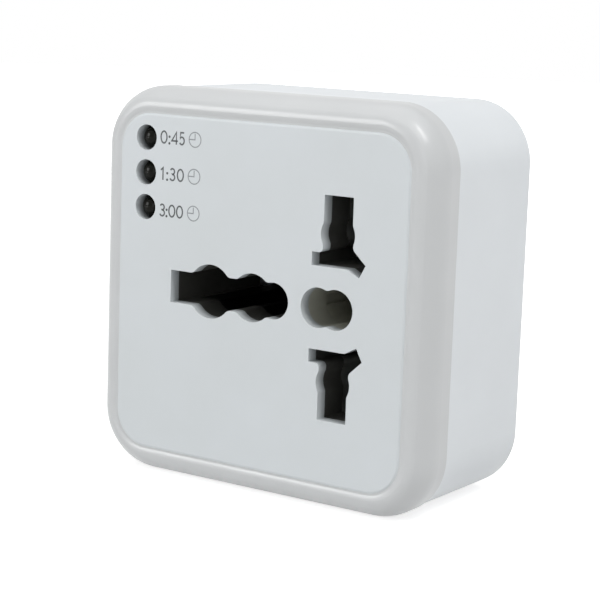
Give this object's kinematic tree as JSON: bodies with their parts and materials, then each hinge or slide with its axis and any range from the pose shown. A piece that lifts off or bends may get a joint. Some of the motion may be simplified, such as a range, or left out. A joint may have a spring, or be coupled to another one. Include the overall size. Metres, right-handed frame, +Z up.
{
  "type": "plug in timer switch",
  "caption": "Square plug-in countdown timer switch with a universal mains socket in front, three indicator lamps and rectangular plug pins behind.",
  "frame": {"origin": "centre of the flat rear face, which lies against the wall plate", "axes": "+Y towards the wall, out of the rear face; +Z up the face, as its numbers read; +X to the right seen from the front"},
  "size_m": [0.0532, 0.048, 0.0526],
  "materials": {
    "face_white": "satin",
    "bezel_pearl": "gloss",
    "housing_white": "gloss",
    "core_grey": "matte",
    "contact_nickel": "satin",
    "pin_brass": "satin",
    "sleeve_black": "matte",
    "lead_brown": "satin",
    "lead_blue": "satin",
    "board_green": "satin",
    "lamp_clear": "gloss",
    "relay_black": "matte",
    "relay_blue": "satin",
    "coil_copper": "satin",
    "relay_steel": "satin",
    "capacitor_yellow": "satin",
    "capacitor_dark": "satin",
    "varistor_blue": "satin",
    "fuse_tan": "matte",
    "chip_black": "matte",
    "button_white": "satin",
    "screw_steel": "satin"
  },
  "bodies": {
    "case": {"front_panel": "face_white", "bezel_ring": "bezel_pearl", "rear_housing": "housing_white", "socket_core": "core_grey", "live_contact": "contact_nickel", "neutral_contact": "contact_nickel", "earth_contact": "contact_nickel", "live_pin": "pin_brass", "neutral_pin": "pin_brass", "earth_pin": "pin_brass", "live_pin_sleeve": "sleeve_black", "neutral_pin_sleeve": "sleeve_black", "neutral_strap": "contact_nickel", "earth_strap": "contact_nickel", "live_lead": "lead_brown", "load_lead": "lead_brown", "neutral_lead": "lead_blue", "main_board": "board_green", "lamp_45_min": "lamp_clear", "lamp_90_min": "lamp_clear", "lamp_180_min": "lamp_clear", "relay_base": "relay_black", "relay_coil": "coil_copper", "relay_fixed_contact": "contact_nickel", "relay_cover": "relay_blue", "mains_capacitor": "capacitor_yellow", "electrolytic_capacitor": "capacitor_dark", "varistor": "varistor_blue", "thermal_fuse": "fuse_tan", "controller_chip": "chip_black", "push_switch": "relay_black", "case_screws": "screw_steel"},
    "button": {"timer_button": "button_white"},
    "plunger": {"switch_plunger": "sleeve_black"},
    "armature": {"relay_armature": "relay_steel"}
  },
  "joints": [
    {"name": "button_press", "type": "slide", "parent": "case", "child": "button", "axis": [1, 0, 0], "range_m": [0, 0.0005], "stiffness_N_per_m": 1500, "springref_m": -0.0002},
    {"name": "plunger_slide", "type": "slide", "parent": "case", "child": "plunger", "axis": [1, 0, 0], "range_m": [0, 0.00065]},
    {"name": "armature_pivot", "type": "hinge", "parent": "case", "child": "armature", "pos_m": [-0.00194, -0.0067, 0.0149], "axis": [0, 0, -1], "range_deg": [0, 3.5], "stiffness_Nm_per_rad": 0.02, "springref_deg": -1.72}
  ],
  "couplings": [
    {"joint": "plunger_slide", "follows": "button_press", "ratio": 1}
  ]
}
